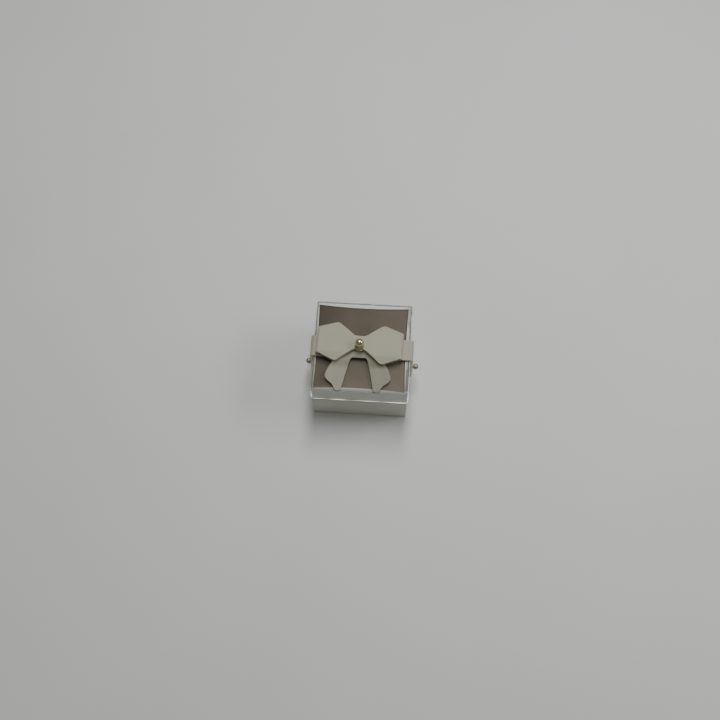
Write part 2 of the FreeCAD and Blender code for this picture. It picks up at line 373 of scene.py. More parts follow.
def start_material(name, color, roughness, metallic=0.0):
    """Principled material; returns it with its tree and shader."""
    material = bpy.data.materials.new(name)
    material.use_nodes = True
    tree = material.node_tree
    shader = tree.nodes["Principled BSDF"]
    shader.inputs["Base Color"].default_value = (*color, 1)
    shader.inputs["Roughness"].default_value = roughness
    shader.inputs["Metallic"].default_value = metallic
    material.diffuse_color = (*color, 1)
    return material, tree, shader


def object_noise(tree, scale, detail=3.0, roughness=0.5, stretch=(1, 1, 1)):
    """Noise on the object's own coordinates; returns its factor."""
    place = tree.nodes.new("ShaderNodeTexCoord")
    turn = tree.nodes.new("ShaderNodeMapping")
    turn.inputs["Scale"].default_value = stretch
    texture = tree.nodes.new("ShaderNodeTexNoise")
    texture.inputs["Scale"].default_value = scale
    texture.inputs["Detail"].default_value = detail
    texture.inputs["Roughness"].default_value = roughness
    tree.links.new(place.outputs["Object"], turn.inputs["Vector"])
    tree.links.new(turn.outputs["Vector"], texture.inputs["Vector"])
    return texture.outputs["Fac"]


def object_cells(tree, scale, feature="F1", output="Distance"):
    """Cell pattern on the object's own coordinates."""
    place = tree.nodes.new("ShaderNodeTexCoord")
    texture = tree.nodes.new("ShaderNodeTexVoronoi")
    texture.feature = feature
    texture.inputs["Scale"].default_value = scale
    tree.links.new(place.outputs["Object"], texture.inputs["Vector"])
    return texture.outputs[output]


def ramp(tree, factor, low, high, first, second):
    """Colour that goes from first to second as factor goes from low to high."""
    node = tree.nodes.new("ShaderNodeValToRGB")
    node.color_ramp.elements[0].position = low
    node.color_ramp.elements[1].position = high
    node.color_ramp.elements[0].color = (*first, 1)
    node.color_ramp.elements[1].color = (*second, 1)
    tree.links.new(factor, node.inputs["Fac"])
    return node.outputs["Color"]


def span(tree, factor, low, high, to_low, to_high):
    """Value that goes from to_low to to_high as factor goes from low to high."""
    node = tree.nodes.new("ShaderNodeMapRange")
    node.inputs["From Min"].default_value = low
    node.inputs["From Max"].default_value = high
    node.inputs["To Min"].default_value = to_low
    node.inputs["To Max"].default_value = to_high
    tree.links.new(factor, node.inputs["Value"])
    return node.outputs["Result"]


def darken(tree, color, factor):
    """Colour multiplied by a grey value."""
    node = tree.nodes.new("ShaderNodeMix")
    node.data_type = "RGBA"
    node.blend_type = "MULTIPLY"
    node.inputs["Factor"].default_value = 1
    tree.links.new(color, node.inputs["A"])
    tree.links.new(factor, node.inputs["B"])
    return node.outputs["Result"]


def stored(tree, name):
    """Value stored on the piece's mesh under a name."""
    node = tree.nodes.new("ShaderNodeAttribute")
    node.attribute_name = name
    return node.outputs["Fac"]


def combine(tree, operation, first, second):
    """Maths on two values, of which the second may be a plain number."""
    node = tree.nodes.new("ShaderNodeMath")
    node.operation = operation
    tree.links.new(first, node.inputs[0])
    if isinstance(second, (int, float)):
        node.inputs[1].default_value = second
    else:
        tree.links.new(second, node.inputs[1])
    return node.outputs["Value"]


def add_bump(tree, shader, heights, strength):
    """Bump from (height, depth in metres) pairs, one over the other."""
    last = None
    for height, depth in heights:
        node = tree.nodes.new("ShaderNodeBump")
        node.inputs["Strength"].default_value = strength
        node.inputs["Distance"].default_value = depth
        tree.links.new(height, node.inputs["Height"])
        if last is not None:
            tree.links.new(last, node.inputs["Normal"])
        last = node.outputs["Normal"]
    tree.links.new(last, shader.inputs["Normal"])


def white_card(name, first, second):
    """Smooth white wrap paper with faint fibres and mottling."""
    material, tree, shader = start_material(name, second, roughness=0.62)
    mottle = object_noise(tree, scale=90, detail=5)
    fibres = object_noise(tree, scale=1400, detail=4, roughness=0.6, stretch=(1, 1, 0.35))
    tree.links.new(ramp(tree, mottle, *noise_range, first, second), shader.inputs["Base Color"])
    tree.links.new(span(tree, fibres, *noise_range, 0.56, 0.70), shader.inputs["Roughness"])
    add_bump(tree, shader, [(fibres, 0.03 * mm), (mottle, 0.06 * mm)], strength=0.4)
    return material


def grey_card(name):
    """Uncoated greyboard with darker flecks."""
    material, tree, shader = start_material(name, (0.40, 0.385, 0.35), roughness=0.85)
    flecks = object_noise(tree, scale=2200, detail=2, roughness=0.7)
    mottle = object_noise(tree, scale=120, detail=4)
    base = ramp(tree, flecks, 0.35, 0.62, (0.30, 0.285, 0.26), (0.44, 0.425, 0.385))
    shade = ramp(tree, mottle, *noise_range, grey(0.88), white)
    tree.links.new(darken(tree, base, shade), shader.inputs["Base Color"])
    add_bump(tree, shader, [(flecks, 0.05 * mm)], strength=0.5)
    return material


def foam(name):
    """Pale open foam with pores."""
    material, tree, shader = start_material(name, (0.72, 0.70, 0.62), roughness=0.95)
    pores = object_cells(tree, scale=1300)
    tree.links.new(ramp(tree, pores, 0.05, 0.5, (0.45, 0.43, 0.36), (0.76, 0.74, 0.66)),
                   shader.inputs["Base Color"])
    add_bump(tree, shader, [(pores, 0.3 * mm)], strength=0.7)
    return material


def velvet(name):
    """Short taupe pile with sheen and brushed patches, and painted light: lighter towards the front
    right, darker towards the back left.
    """
    shaded_back_left = (0.114, 0.090, 0.066)
    lit_front_right = (0.261, 0.223, 0.168)
    material, tree, shader = start_material(name, (0.105, 0.088, 0.064), roughness=0.95)
    shader.inputs["Sheen Weight"].default_value = 0.12
    shader.inputs["Sheen Roughness"].default_value = 0.4
    shader.inputs["Sheen Tint"].default_value = (0.80, 0.74, 0.62, 1)
    shader.inputs["Specular IOR Level"].default_value = 0.15
    brushed = object_noise(tree, scale=38, detail=3, roughness=0.55)
    pile = object_noise(tree, scale=4200, detail=2, roughness=0.7)
    # Painted light: the base colour goes from shaded at the back left to lit at the front right.
    base = ramp(tree, stored(tree, "painted_light_slope"), 0, 1, shaded_back_left, lit_front_right)
    patches = ramp(tree, brushed, 0.32, 0.68, grey(0.76), white)
    grain = ramp(tree, pile, *noise_range, grey(0.80), white)
    tree.links.new(darken(tree, darken(tree, base, patches), grain), shader.inputs["Base Color"])
    add_bump(tree, shader, [(pile, 0.12 * mm), (brushed, 0.3 * mm)], strength=0.5)
    return material


def clear_plastic(name):
    """Thin clear sheet, nearly invisible face on, whose rounded edges refract; it carries a painted shade
    over the card's rim, darkest in front, and a painted glint that glows on the skirt's corners.
    """
    clear_tint = (0.93, 0.94, 0.93)
    painted_shade_tint = (0.26, 0.25, 0.20)
    painted_shade_opacity = 0.28
    rim_roughness = 0.55
    edge_over_shade = 2.2
    material, tree, shader = start_material(name, clear_tint, roughness=0.07)
    shader.inputs["IOR"].default_value = 1.3
    facing = tree.nodes.new("ShaderNodeLayerWeight")
    facing.inputs["Blend"].default_value = 0.5
    haze = object_noise(tree, scale=55, detail=4)
    edge = stored(tree, "edge")
    shade = stored(tree, "shade")
    slant = combine(tree, "POWER", facing.outputs["Facing"], 2.5)
    sheet = span(tree, slant, 0, 1, 0.008, 0.35)
    shaded_sheet = combine(tree, "ADD", sheet, combine(tree, "MULTIPLY", shade, painted_shade_opacity))
    alpha = combine(tree, "ADD", shaded_sheet, edge)
    tree.links.new(combine(tree, "MINIMUM", alpha, edge_opacity), shader.inputs["Alpha"])
    tree.links.new(edge, shader.inputs["Transmission Weight"])
    # Painted shade over the card's rim, less in the rounded edges: it darkens the base colour and raises
    # the roughness.
    rim = combine(tree, "SUBTRACT", shade, combine(tree, "MULTIPLY", edge, edge_over_shade))
    tree.links.new(ramp(tree, rim, 0, 0.3, clear_tint, painted_shade_tint), shader.inputs["Base Color"])
    # Painted glint: the lid glows where the glint mark is.
    shader.inputs["Emission Color"].default_value = (1, 1, 0.97, 1)
    tree.links.new(stored(tree, "painted_glint"), shader.inputs["Emission Strength"])
    rough = combine(tree, "MULTIPLY", ramp(tree, rim, 0, 0.3, black, white), rim_roughness)
    tree.links.new(combine(tree, "ADD", rough, span(tree, haze, *noise_range, 0.05, 0.10)),
                   shader.inputs["Roughness"])
    material.surface_render_method = "BLENDED"
    return material


def painted_glow_edge(name):
    """Cut edge of clear sheet with a painted highlight above, where it glows in a bright line, and a
    painted shade below, in a dark line.
    """
    painted_dark_line_tint = (0.08, 0.08, 0.072)
    painted_bright_line_tint = (0.90, 0.91, 0.88)
    material, tree, shader = start_material(name, (0.60, 0.61, 0.59), roughness=0.16)
    shader.inputs["Specular IOR Level"].default_value = 0.1
    ripple = object_noise(tree, scale=70, detail=2)
    upper = ramp(tree, stored(tree, "lit"), 0.74, 0.82, black, white)
    tree.links.new(ramp(tree, upper, 0, 1, painted_dark_line_tint, painted_bright_line_tint), shader.inputs["Base Color"])
    shader.inputs["Emission Color"].default_value = (1, 1, 0.96, 1)
    # Painted highlight: the upper part glows, unevenly along the edge.
    glow = combine(tree, "MULTIPLY", upper, span(tree, ripple, 0.35, 0.65, 0.2, 1.3))
    tree.links.new(glow, shader.inputs["Emission Strength"])
    tree.links.new(span(tree, ripple, *noise_range, 0.10, 0.22), shader.inputs["Roughness"])
    return material


def leather(name, first, second):
    """Smooth cream leather: fine pebble grain, slow changes of tone, paler cut edges that are partly a
    painted highlight, and painted shade on the tails.
    """
    material, tree, shader = start_material(name, first, roughness=0.5)
    shader.inputs["Specular IOR Level"].default_value = 0.35
    tone = object_noise(tree, scale=45, detail=4, roughness=0.5)
    speckle = object_noise(tree, scale=900, detail=3, roughness=0.6)
    grain = object_cells(tree, scale=1500, feature="SMOOTH_F1")
    base = ramp(tree, tone, *noise_range, first, second)
    shade = ramp(tree, speckle, *noise_range, (0.93, 0.93, 0.92), white)
    # Paler cut edges: partly the raw edge's own colour, partly a painted highlight where the edges catch
    # light.
    cut = ramp(tree, stored(tree, "cut"), 0, 1, grey(0.68), white)
    # Painted shade: darker where the under mark is, on the tails and most under the bow.
    under = ramp(tree, stored(tree, "under"), 0, 1, white, (0.58, 0.58, 0.56))
    grained = darken(tree, base, shade)
    tree.links.new(darken(tree, darken(tree, grained, cut), under), shader.inputs["Base Color"])
    tree.links.new(span(tree, speckle, *noise_range, 0.46, 0.60), shader.inputs["Roughness"])
    add_bump(tree, shader, [(grain, 0.08 * mm), (speckle, 0.05 * mm)], strength=0.35)
    return material


def pale_brass(name, bright, tarnished, polish):
    """Pale gold with fine hairlines and faint tarnish; polish is its lowest roughness."""
    material, tree, shader = start_material(name, bright, roughness=polish, metallic=1)
    hairlines = object_noise(tree, scale=700, detail=3, roughness=0.6, stretch=(1, 1, 9))
    tarnish = object_noise(tree, scale=260, detail=4)
    tree.links.new(ramp(tree, tarnish, 0.35, 0.7, bright, tarnished), shader.inputs["Base Color"])
    tree.links.new(span(tree, hairlines, *noise_range, polish, polish + 0.12), shader.inputs["Roughness"])
    add_bump(tree, shader, [(hairlines, 0.008 * mm)], strength=0.3)
    return material


def plated_steel(name):
    """Nickel-plated steel with turning marks."""
    material, tree, shader = start_material(name, (0.60, 0.59, 0.57), roughness=0.28, metallic=1)
    marks = object_noise(tree, scale=900, detail=3, roughness=0.6, stretch=(1, 1, 7))
    tree.links.new(span(tree, marks, *noise_range, 0.2, 0.38), shader.inputs["Roughness"])
    add_bump(tree, shader, [(marks, 0.01 * mm)], strength=0.3)
    return material


def pale_floor(name):
    """Matt pale grey ground."""
    material, tree, shader = start_material(name, (0.80, 0.81, 0.795), roughness=0.8)
    cloud = object_noise(tree, scale=6, detail=3)
    tree.links.new(ramp(tree, cloud, *noise_range, (0.79, 0.80, 0.785), (0.82, 0.83, 0.815)),
                   shader.inputs["Base Color"])
    return material


# Painted shade: the tray's card is a darker copy of the frame's white card, standing in for the shade on
# the tray's walls.
shaded_card_paper = white_card("white_card", (0.52, 0.52, 0.465), (0.56, 0.56, 0.505))
frame_paper = white_card("frame_card", (0.73, 0.735, 0.695), (0.78, 0.785, 0.745))
board = grey_card("grey_card")
foam_material = foam("foam")
velvet_cloth = velvet("velvet")
clear = clear_plastic("clear_plastic")
clear_edge = painted_glow_edge("painted_glow_edge")
cream_leather = leather("leather", (0.63, 0.598, 0.46), (0.68, 0.648, 0.50))
brass = pale_brass("brass", (0.77, 0.735, 0.43), (0.65, 0.62, 0.35), polish=0.10)
# Painted shade: the side studs' brass is a darker, rougher copy of the centre stud's brass, standing in
# for the darker reflections they show.
shaded_brass = pale_brass("shaded_brass", (0.46, 0.45, 0.33), (0.36, 0.35, 0.25), polish=0.24)
steel = plated_steel("steel")


# Tray, inner frame and insert

def card_tray():
    """Tray folded from one board: floor, four walls, rounded wrap on every fold."""
    tray = add_block(tray_low, tray_high)
    edit(tray)
    pick(tray, "edges", upright)
    bpy.ops.mesh.bevel(offset=card_corner_radius, segments=4, affect="EDGES")
    pick(tray, "faces", faces_up)
    bpy.ops.mesh.inset(thickness=card_wall)
    depth = tray_high.z - tray_low.z - card_floor
    bpy.ops.mesh.extrude_region_move(TRANSFORM_OT_translate={"value": (0, 0, -depth)})
    pick(tray, "faces", faces_down)
    bpy.ops.mesh.inset(thickness=turn_in)
    bpy.ops.mesh.extrude_region_move(TRANSFORM_OT_translate={"value": (0, 0, paper)})
    round_edges(tray, card_edge_radius)
    drill(tray, screw_hole_radius, 3 * tray_high.x, (0, strap_y, side_stud_z), math.pi / 2)
    return dress(tray, "card_tray", shaded_card_paper, ["tray_shell"])


def wrap_panel(side):
    """Paper panel of the wrap on the front or the back wall, short of the corners."""
    from_corner = 1.6 * mm
    from_rim = 0.5 * mm
    edge_radius = 0.05 * mm
    outer_y = tray_high.y + paper
    near_y, far_y = sorted((side * outer_y, side * tray_high.y))
    panel = add_block((tray_low.x + from_corner, near_y, tray_low.z + from_rim),
                      (tray_high.x - from_corner, far_y, tray_high.z - from_rim))
    round_edges(panel, edge_radius, segments=2)
    name = "wrap_panel_front" if side < 0 else "wrap_panel_back"
    return dress(panel, name, shaded_card_paper)


def bowed_ring(half, corner_radius, bow=1.0):
    """Points round a square whose sides bow inwards, with round corners, as (x, y) pairs."""
    corner_crowding = 0.2
    points = []
    for i in range(ring_points):
        angle = 2 * math.pi * i / ring_points
        angle += corner_crowding * math.sin(4 * angle)
        x, y = math.cos(angle), math.sin(angle)
        reach = max(abs(x), abs(y))
        u, v = x / reach, y / reach
        x, y = u * half, v * half
        x -= math.copysign(bow * wall_bow_side * (1 - v * v) * abs(u) ** 4, u)
        y -= math.copysign(bow * wall_bow_front * (1 - u * u) * abs(v) ** 4, v)
        edge = half - corner_radius
        over = Vector((max(abs(x) - edge, 0), max(abs(y) - edge, 0)))
        if over.x > 0 and over.y > 0 and over.length > corner_radius:
            over *= corner_radius / over.length
            x = math.copysign(edge + over.x, x)
            y = math.copysign(edge + over.y, y)
        points.append((x, y))
    return points


def stack_rings(count, rings):
    """Shell drawn up from a circle through rings of (points, height), open at both ends."""
    digits = 7
    deselect()
    bpy.ops.mesh.primitive_circle_add(vertices=count, radius=1)
    piece = bpy.context.object
    angle_order = sorted(range(count), key=lambda i: math.atan2(
        piece.data.vertices[i].co.y, piece.data.vertices[i].co.x) % (2 * math.pi))
    edit(piece)
    bpy.ops.mesh.select_all(action="SELECT")
    for level, (points, height) in enumerate(rings):
        if level:
            bpy.ops.mesh.extrude_region_move(TRANSFORM_OT_translate={"value": (0, 0, 0)})
        mesh = bmesh.from_edit_mesh(piece.data)
        chosen = [vertex for vertex in mesh.verts if vertex.select]
        if level == 0:
            mesh.verts.ensure_lookup_table()
            ordered = [mesh.verts[i] for i in angle_order]
        else:
            by_last = {vertex.co.to_tuple(digits): vertex for vertex in chosen}
            ordered = [by_last[place] for place in last_places]
        for vertex, (x, y) in zip(ordered, points):
            vertex.co = (x, y, height)
        last_places = [vertex.co.to_tuple(digits) for vertex in ordered]
        bmesh.update_edit_mesh(piece.data)
    return piece


def neck_frame():
    """Thin card frame inside the tray: bowed walls under a lip that reaches out to the tray."""
    inner = bowed_ring(frame_high.x - frame_card, frame_corner)
    outer = bowed_ring(frame_high.x, frame_corner)
    reach = tray_high.x - card_wall - frame_lip_gap
    lip = [(x - frame_slip.x, y - frame_slip.y) for x, y in bowed_ring(reach, frame_corner, 0)]
    middle_z = (frame_low.z + frame_high.z) / 2
    under_lip = frame_high.z - frame_card
    walls = stack_rings(ring_points, [
        (inner, frame_low.z), (inner, middle_z), (inner, frame_high.z),
        (lip, frame_high.z), (lip, under_lip), (outer, under_lip),
        (outer, middle_z), (outer, frame_low.z), (inner, frame_low.z)])
    merge_close(walls, 5 * same_place)
    face_outwards(walls)
    round_edges(walls, frame_edge_radius, angle=50)
    walls.location = frame_slip
    return dress(walls, "neck_frame", frame_paper, ["inner_frame"])


def velvet_pad():
    """Velvet drawn over the foam: soft rim, low crown and small gathers at the corners."""
    half = frame_high.x - frame_card - pad_gap
    top_z = pad_high.z + pad_rise
    flat_half = half - pad_rim
    rings = []
    for share in (0, 0.5, 1):
        z = pad_low.z + (top_z - pad_crown - pad_rim - pad_low.z) * share
        rings.append((bowed_ring(half, pad_corner), z))
    for step in range(1, pad_rim_steps + 1):
        angle = math.pi / 2 * step / pad_rim_steps
        inset = pad_rim * (1 - math.cos(angle))
        z = top_z - pad_crown - pad_rim * (1 - math.sin(angle))
        rings.append((bowed_ring(half - inset, pad_corner), z))
    flat = bowed_ring(flat_half, pad_corner)
    for step in range(1, pad_top_steps + 1):
        share = step / pad_top_steps
        shrink = 1 - share + pad_tip / flat_half * share
        z = top_z - pad_crown * (1 - share) ** 2
        rings.append(([(x * shrink, y * shrink) for x, y in flat], z))
    pad = stack_rings(ring_points, rings)
    bpy.ops.mesh.merge(type="CENTER")
    pick(pad, "verts", lambda vertex: vertex.co.z < pad_low.z + paper)
    bpy.ops.mesh.edge_face_add()
    deselect()
    face_outwards(pad)
    for vertex in pad.data.vertices:
        x, y, z = vertex.co
        if z > pad_low.z + pad_rim:
            wave = noise.noise(Vector((x, y, z)) * pad_waves_per_metre)
            vertex.co.z += (wave - 1) * pad_wave
        corner = max(0, (abs(x) + abs(y)) / (2 * half) - gather_start) / (1 - gather_start)
        if z < top_z - pad_crown - pad_rim / 2 and corner > 0:
            gather = 1 - gather_depth * corner * (1 + math.sin(math.atan2(y, x) * gather_count))
            vertex.co.x *= gather
            vertex.co.y *= gather

    def painted_light_slope(place):
        """Painted light share, from 0 at the left of the back, where shade is painted, to 1 at the right
        of the front, where light is painted.
        """
        right = (place.x + half) / (2 * half)
        front = (half - place.y) / (2 * half)
        return (5 * right + 4 * front) / 9

    mark(pad, "painted_light_slope", painted_light_slope)
    pad.location = frame_slip
    return dress(pad, "velvet_pad", velvet_cloth, ["insert_cover"], angle=50)


def foam_block():
    """Foam under the velvet, a little inside its cover."""
    inset = Vector((foam_inset, foam_inset, 0))
    block = add_block(foam_low + inset, foam_high - inset)
    round_edges(block, foam_edge_radius)
    return dress(block, "foam_block", foam_material, ["insert_foam"])


# Lid

def clear_lid():
    """Clear shell with round corners and a thicker top; its rounded edges refract as solid plastic."""
    lid = add_block(lid_low, lid_high)
    edit(lid)
    pick(lid, "edges", upright)
    bpy.ops.mesh.bevel(offset=lid_corner_radius, segments=bevel_steps, affect="EDGES")
    pick(lid, "faces", faces_up)
    bpy.ops.mesh.region_to_loop()
    bpy.ops.mesh.bevel(offset=lid_edge_radius, segments=bevel_steps, affect="EDGES")
    deselect()
    hollow_half = lid_high.x - lid_wall
    hollow = add_block((-hollow_half, -hollow_half, lid_low.z - lid_wall),
                       (hollow_half, hollow_half, lid_top - lid_top_sheet))
    edit(hollow)
    pick(hollow, "edges", upright)
    bpy.ops.mesh.bevel(offset=lid_corner_radius - lid_wall, segments=bevel_steps, affect="EDGES")
    deselect()
    cut_with(lid, hollow)
    round_edges(lid, lid_cut_radius, segments=2, angle=60)
    lines = []
    for reach in (lid_edge_radius + edge_fade, rim_shade_reach, rim_shade_reach + rim_shade_fade):
        lines += [Vector((0, 0, lid_top - reach)), Vector((lid_high.x - reach, 0, 0)),
                  Vector((lid_low.x + reach, 0, 0)), Vector((0, lid_high.y - reach, 0)),
                  Vector((0, lid_low.y + reach, 0))]
    for drop in (glint_start, glint_start + glint_fade, glint_end - glint_fade, glint_end):
        lines.append(Vector((0, 0, lid_top - drop)))
    edit(lid)
    for place in lines:
        bpy.ops.mesh.select_all(action="SELECT")
        bpy.ops.mesh.bisect(plane_co=place, plane_no=place.normalized(), threshold=same_place)
    deselect()

    def edge_share(place):
        """1 in the lid's rounded edges, less along the front one, and 0 in its flat sheets."""
        gaps = sorted((lid_high.x - abs(place.x), lid_high.y - abs(place.y), lid_top - place.z))
        from_edge = math.hypot(gaps[0], gaps[1])
        in_edge = smooth((lid_edge_radius + edge_fade / 2 - from_edge) / (edge_fade / 2))
        in_front = smooth((lid_low.y + front_edge_reach - place.y) / mm)
        return in_edge * (1 - front_edge_loss * in_front)

    def painted_rim_shade_share(place):
        """Painted shade: a darker, more opaque top over the card's rim, most of all in front."""
        from_side = min(lid_high.x - abs(place.x), lid_high.y - abs(place.y))
        over_rim = smooth((rim_shade_reach + rim_shade_fade - from_side) / rim_shade_fade)
        in_front = 0.5 - place.y / (2 * lid_high.y)
        return over_rim * in_front ** 2 if lid_top - place.z < lid_edge_radius else 0

    def painted_glint_share(place):
        """Painted glint: glow on the skirt's corners, most of all on the left."""
        full, none = 0.65 * lid_corner_radius, 0.85 * lid_corner_radius
        from_sides = 2 * lid_high.x - abs(place.x) - abs(place.y)
        at_corner = smooth((none - from_sides) / (none - full))
        drop = lid_top - place.z
        along = smooth(min(drop - glint_start, glint_end - drop) / glint_fade)
        return at_corner * along * (glint_right if place.x > 0 else glint_left)

    # Marks for the refracting edges, the painted rim shade and the painted glint
    mark(lid, "edge", edge_share)
    mark(lid, "shade", painted_rim_shade_share)
    mark(lid, "painted_glint", painted_glint_share)
    return dress(lid, "lid", clear, ["clear_lid"])


def lid_band():
    """Thick polished edge that runs round the bottom of the lid's skirt; its material paints a glowing
    bright line above and a dark line below.
    """
    around = 12
    per_corner = 9
    height = lid_low.z - band_drop + band_height / 2
    corner = lid_high.x - lid_wall / 2 - lid_corner_radius
    path = []
    for quarter in range(4):
        start = math.pi / 4 + math.pi / 2 * quarter
        middle = Vector((math.copysign(corner, math.cos(start)),
                         math.copysign(corner, math.sin(start)), 0))
        for step in range(per_corner):
            angle = math.pi / 2 * (quarter + step / (per_corner - 1))
            path.append((middle, Vector((math.cos(angle), math.sin(angle), 0))))
    columns = len(path)

    def place(u, v):
        middle, out = path[round(u * columns) % columns]
        turn = 2 * math.pi * round(v * around) / around
        reach = lid_corner_radius + band_radius * math.cos(turn)
        rise = band_radius * math.sin(turn)
        if abs(rise) > 10 * same_place:
            rise += math.copysign(band_height / 2 - band_radius, rise)
        return middle + reach * out + Vector((0, 0, height + rise))

    band = add_sheet(columns, around, place)
    merge_close(band, 10 * same_place)
    face_outwards(band)
    # Height share on the band, which places the painted bright line above and the painted dark line below
    mark(band, "lit", lambda place: 0.5 + (place.z - height) / band_height)
    return dress(band, "lid_band", clear_edge, angle=80)


# Leather

def strap_line(distance):
    """Middle line of the strap's right half: over the lid, round its edge and down."""
    start_x = strap_seam_x - seam_spare
    radius = bend_radius + strap_leather / 2
    bend_x = strap_high.x - strap_leather - bend_radius
    bend_z = lid_top - bend_radius
    flat = bend_x - start_x
    bend = radius * math.pi / 2
    if distance < flat:
        return start_x + distance, bend_z + radius
    if distance < flat + bend:
        angle = (distance - flat) / radius
        return bend_x + radius * math.sin(angle), bend_z + radius * math.cos(angle)
    return bend_x + radius, bend_z - (distance - flat - bend)


def strap_side(side):
    """Strap from under the bow to its round end, with buttonhole and slit."""
    radius = bend_radius + strap_leather / 2
    bend_x = strap_high.x - strap_leather - bend_radius
    bend_z = lid_top - bend_radius
    total = bend_x - strap_seam_x + seam_spare + radius * math.pi / 2 + bend_z - tongue_low.z

    def place(u, v):
        to_end = total * (1 - u)
        half = strap_half_width
        if to_end < half:
            half = math.sqrt(max(half ** 2 - (half - to_end) ** 2, strap_tip_half ** 2))
        x, z = strap_line(total * u)
        return Vector((side * x, strap_y + side * (2 * v - 1) * half, z))

    strap = add_sheet(columns=92, rows=34, place=place)
    modify(strap, "SOLIDIFY", thickness=strap_leather, offset=0, use_even_offset=True)
    face_outwards(strap)
    hole_x = side * (side_low.x + side_high.x) / 2
    drill(strap, buttonhole_radius, 2 * cut_reach, (hole_x, strap_y, side_stud_z), math.pi / 2)
    slit_top = side_stud_z + buttonhole_radius + slit_length
    cut_with(strap, add_block((hole_x - cut_reach, strap_y - slit_half_width, side_stud_z),
                              (hole_x + cut_reach, strap_y + slit_half_width, slit_top)))
    round_edges(strap, strap_edge_radius, angle=cut_edge_angle)
    trim(strap, (side * strap_seam_x, 0, 0), (-side, 0, 0))
    mark_cut(strap, lambda normal: abs(normal.y))
    name = "right" if side > 0 else "left"
    dress(strap, "strap_" + name, cream_leather, ["strap_end_" + name])
    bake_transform(strap)
    return strap


def strap_middle():
    """Length of the strap that lies under the bow."""
    def place(u, v):
        x = (2 * u - 1) * (strap_seam_x + seam_spare)
        y = strap_y + (2 * v - 1) * strap_half_width
        return Vector((x, y, lid_top + strap_leather / 2))

    strap = add_sheet(columns=52, rows=34, place=place)
    modify(strap, "SOLIDIFY", thickness=strap_leather, offset=0)
    face_outwards(strap)
    round_edges(strap, strap_edge_radius, angle=cut_edge_angle)
    for side in (1, -1):
        trim(strap, (side * strap_seam_x, 0, 0), (side, 0, 0))
    mark_cut(strap, lambda normal: abs(normal.y))
    return dress(strap, "strap_middle", cream_leather, ["strap_top"])


def eased_line(x, points, reach):
    """Height of a line through points at x, its corners rounded within reach."""
    for (x0, y0), (x1, y1) in zip(points, points[1:]):
        if x <= x1 or (x1, y1) == points[-1]:
            height = y0 + (y1 - y0) * (x - x0) / (x1 - x0)
            break
    for before, here, after in zip(points, points[1:], points[2:]):
        away = abs(x - here[0])
        if away < reach:
            slope_in = (here[1] - before[1]) / (here[0] - before[0])
            slope_out = (after[1] - here[1]) / (after[0] - here[0])
            height += (slope_out - slope_in) * (reach - away) ** 2 / (4 * reach)
    return height


def bow_half_width(x):
    """Half the bow's width at a distance from its middle."""
    outline = [(0, bow_half_waist), (bow_waist_x, bow_half_waist),
               (bow_peak_x, bow_half_lobe), (bow_half_length + mm, bow_half_end)]
    return eased_line(abs(x), outline, bow_outline_ease)


def bow_loops():
    """Strip that runs out below, folds at each end and comes back on top of itself."""
    half_leather = bow_leather / 2
    waist_low = centre_low.z + flange_thickness
    waist_high = waist_low + 2 * bow_leather + bow_pinch_gap
    lobe_low = waist_low - lobe_drop
    lobe_high = waist_high + lobe_rise
    fold_radius = (lobe_high - lobe_low) / 2 - half_leather
    fold_x = bow_half_length - half_leather - fold_radius
    fold_z = (lobe_high + lobe_low) / 2
    run = fold_x - bow_seam
    fold = fold_radius * math.pi
    total = 4 * run + 2 * fold + 2 * bow_seam
    middle = Matrix.Translation((stud_x, strap_y + bow_back_shift, 0)) @ Matrix.Rotation(bow_turn, 4, "Z")

    def line(distance):
        """Side view of the strip's middle line from the seam below to the middle on top."""
        if distance < run:
            x = bow_seam + distance
            lift = smooth((x - bow_waist_x) / (bow_ramp_x - bow_waist_x))
            return x, waist_low + half_leather + (lobe_low - waist_low) * lift
        if distance < run + fold:
            angle = (distance - run) / fold_radius
            return fold_x + fold_radius * math.sin(angle), fold_z - fold_radius * math.cos(angle)
        x = fold_x - (distance - run - fold)
        lift = smooth((x - bow_waist_x) / (bow_ramp_x - bow_waist_x))
        return x, waist_high - half_leather + (lobe_high - waist_high) * lift

    def place(u, v):
        distance = u * total
        side = 1
        if distance > total / 2:
            distance = total - distance
            side = -1
        x, z = line(distance)
        y = (2 * v - 1) * bow_half_width(x)
        hang = lobe_hang * smooth((abs(y) - strap_half_width) / (bow_half_lobe - strap_half_width))
        return middle @ Vector((side * x, y, z - hang))

    loops = add_sheet(columns=260, rows=40, place=place)
    modify(loops, "SOLIDIFY", thickness=bow_leather, offset=0, use_even_offset=True)
    face_outwards(loops)
    drill(loops, bow_hole_radius, bow_hole_depth, (stud_x, strap_y, waist_high))
    round_edges(loops, bow_edge_radius, angle=cut_edge_angle)
    mark_cut(loops, lambda normal: abs(normal.y))
    return dress(loops, "bow", cream_leather, ["bow_loops"])


def tail_edges(along):
    """Inner and outer edge of one tail, at a distance in front of the stud; the lines are in mm."""
    outer_line = [(-5.5, 5.2), (-4.5, 6.3), (0, 10.4), (8, 17.6), (14, 21.8), (19, 24.6),
                  (23.5, 26.2), (26.5, 26.5), (28.5, 25.4), (30.5, 23.2), (32.2, 21.0),
                  (34.5, 19.3), (36.6, 18.4), (37.6, 17.6), (38.0, 16.6)]
    inner_line = [(9.5, 6.5), (20, 9.4), (36.4, 13.0), (37.4, 13.6), (38.0, 14.6)]
    outer = curve_through(outer_line, along / mm) * mm
    inner = curve_through(inner_line, along / mm) * mm
    from_fork = (along - fork_reach) / fork_corner_length
    if 0 <= from_fork < 1:
        inner -= fork_corner_depth * (1 - from_fork) ** 2
    return inner, outer


